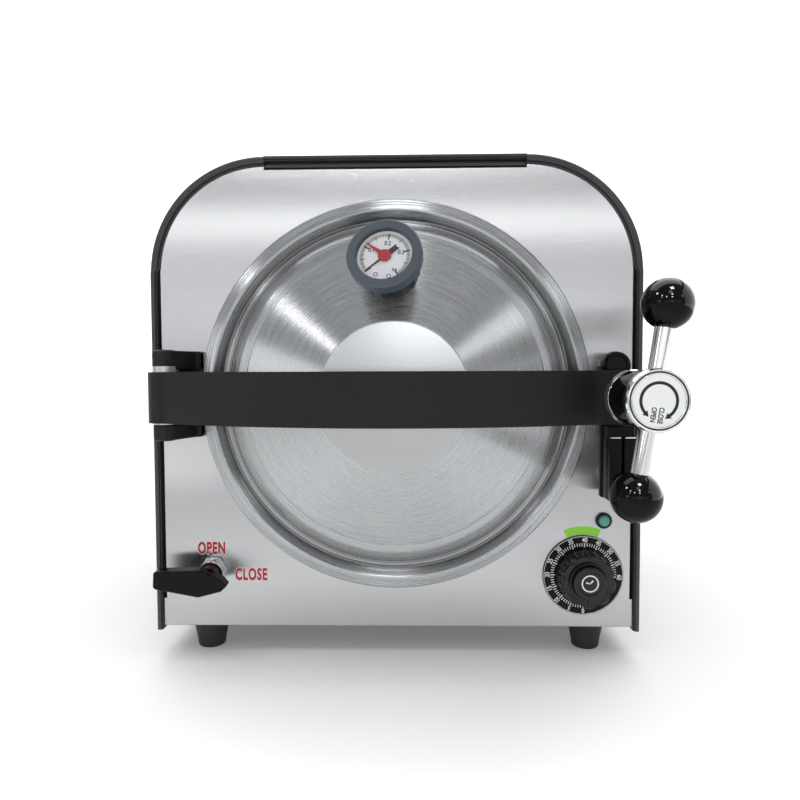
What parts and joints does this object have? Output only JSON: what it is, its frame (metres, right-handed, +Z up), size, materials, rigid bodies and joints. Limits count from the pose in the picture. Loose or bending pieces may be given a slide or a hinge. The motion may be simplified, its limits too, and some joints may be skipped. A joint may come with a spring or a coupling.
{
  "type": "benchtop autoclave",
  "caption": "Benchtop steam steriliser with an arched sheet-metal case, round dished lid on a side-hinged clamp arm, ball lever, pressure gauge, timer dial and steam release valve.",
  "frame": {"origin": "on the surface that the feet stand on, under the middle of the object's bounding box", "axes": "+X to the right seen from the front, +Y from the lid towards the rear panel, +Z up"},
  "size_m": [0.34, 0.5214, 0.35],
  "materials": {
    "case_paint": "fine satin stove paint, dark grey",
    "trim_paint": "satin paint, darker grey",
    "brushed_steel": "long horizontal brushing",
    "plain_sheet": "mill finish sheet",
    "foot_rubber": "matt moulded rubber",
    "screw_steel": "zinc plated",
    "chamber_steel": "drawn, satin",
    "blanket": "needled glass fibre",
    "heater_steel": "oxidised sheath",
    "brass": "machined",
    "black_paint": "fine textured black powder coat",
    "black_gloss": "gloss black enamel",
    "chrome": "polished plating",
    "bronze": "sintered",
    "spun_steel": "spun, concentric brushing",
    "plate_steel": "fine satin polish",
    "gasket": "moulded silicone",
    "gauge_black": "moulded, ribbed",
    "gauge_bezel_paint": "satin slate blue-grey",
    "gauge_face": "white enamel with a printed scale",
    "gauge_glass": "clear",
    "needle_black": "matt",
    "pointer_red": "satin",
    "knob_plastic": "polished phenolic",
    "dial_black": "printed dial plate",
    "body_plastic": "moulded ivory plastic",
    "lamp_green": "tinted lens",
    "fitting_plastic": "moulded black plastic",
    "button_red": "moulded red plastic",
    "wire_sleeve": "braided sleeve"
  },
  "bodies": {
    "case": {"casing": "case_paint", "edge_trims": "trim_paint", "front_panel": "brushed_steel", "rear_panel": "plain_sheet", "base_plate": "plain_sheet", "rubber_feet": "foot_rubber", "foot_screws": "screw_steel", "case_screws": "screw_steel", "chamber_flange": "chamber_steel", "chamber_shell": "chamber_steel", "chamber_end": "chamber_steel", "support_ring": "plain_sheet", "insulation_blanket": "blanket", "chamber_saddles": "plain_sheet", "heater_element": "heater_steel", "heater_glands": "brass", "hinge_bracket": "black_paint", "hinge_pin": "screw_steel", "hinge_spacers": "chrome", "hinge_screws": "screw_steel", "latch_keeper": "black_paint", "keeper_studs": "screw_steel", "release_valve_body": "brass", "release_valve_nut": "screw_steel", "steam_pipes": "brass", "timer_dial": "dial_black", "timer_body": "body_plastic", "lamp_bezel": "fitting_plastic", "lamp_lens": "lamp_green", "power_inlet": "fitting_plastic", "safety_valve_body": "brass", "over_temperature_cutout": "fitting_plastic", "terminal_block": "body_plastic", "wire_harness": "wire_sleeve"},
    "rack": {"tray_rack": "chamber_steel", "instrument_trays": "chamber_steel"},
    "door": {"door_arm": "black_paint", "hinge_bushes": "bronze", "door_lid": "spun_steel", "lid_centre_plate": "plate_steel", "door_gasket": "gasket", "pivot_stud": "chrome", "pivot_retainer": "screw_steel", "spindle_nut": "bronze", "gauge_stem": "brass", "gauge_case": "gauge_black", "gauge_bezel": "gauge_bezel_paint", "gauge_dial": "gauge_face", "gauge_lens": "gauge_glass"},
    "collar": {"lever_collar": "chrome"},
    "lever": {"clamp_spindle": "chrome", "lever_hub": "chrome", "lever_rods": "chrome", "ball_knobs": "knob_plastic"},
    "valve": {"valve_lever": "black_paint"},
    "timer": {"timer_knob": "knob_plastic"},
    "needle": {"gauge_needle": "needle_black"},
    "set_pointer": {"gauge_set_pointer": "pointer_red"},
    "safety_ring": {"safety_valve_ring": "chrome"},
    "reset": {"reset_button": "button_red"}
  },
  "joints": [
    {"name": "door_swing", "type": "hinge", "parent": "case", "child": "door", "pos_m": [-0.152, -0.18635, 0.1855], "axis": [0, 0, -1], "range_deg": [0, 135]},
    {"name": "collar_slide", "type": "slide", "parent": "door", "child": "collar", "axis": [0, -1, 0], "range_m": [0, 0.002]},
    {"name": "lever_turn", "type": "hinge", "parent": "collar", "child": "lever", "pos_m": [0.1465, -0.24535, 0.1855], "axis": [0, 1, 0], "range_deg": [0, 90]},
    {"name": "valve_turn", "type": "hinge", "parent": "case", "child": "valve", "pos_m": [-0.1288, -0.16135, 0.063], "axis": [0, -0.9962, -0.0872], "range_deg": [0, 90]},
    {"name": "timer_turn", "type": "hinge", "parent": "case", "child": "timer", "pos_m": [0.1305, -0.17135, 0.0592], "axis": [0, 1, 0], "range_deg": [0, 273]},
    {"name": "needle_turn", "type": "hinge", "parent": "door", "child": "needle", "pos_m": [0, -0.19244, 0.259], "axis": [0.1308, 0.9306, -0.3417], "range_deg": [0, 270], "stiffness_Nm_per_rad": 0.0004, "springref_deg": -11.46},
    {"name": "set_pointer_turn", "type": "hinge", "parent": "door", "child": "set_pointer", "pos_m": [0, -0.19244, 0.259], "axis": [0.1308, 0.9306, -0.3417], "range_deg": [-77, 193]},
    {"name": "rack_slide", "type": "slide", "parent": "case", "child": "rack", "axis": [0, -1, 0], "range_m": [0, 0.018]},
    {"name": "safety_ring_pull", "type": "slide", "parent": "case", "child": "safety_ring", "axis": [0, 1, 0], "range_m": [0, 0.003], "stiffness_N_per_m": 2000, "springref_m": -0.002},
    {"name": "reset_press", "type": "slide", "parent": "case", "child": "reset", "axis": [0, -1, 0], "range_m": [0, 0.002], "stiffness_N_per_m": 1500, "springref_m": -0.002}
  ],
  "couplings": [
    {"joint": "collar_slide", "follows": "lever_turn", "m_per_rad": 0.0012669}
  ]
}
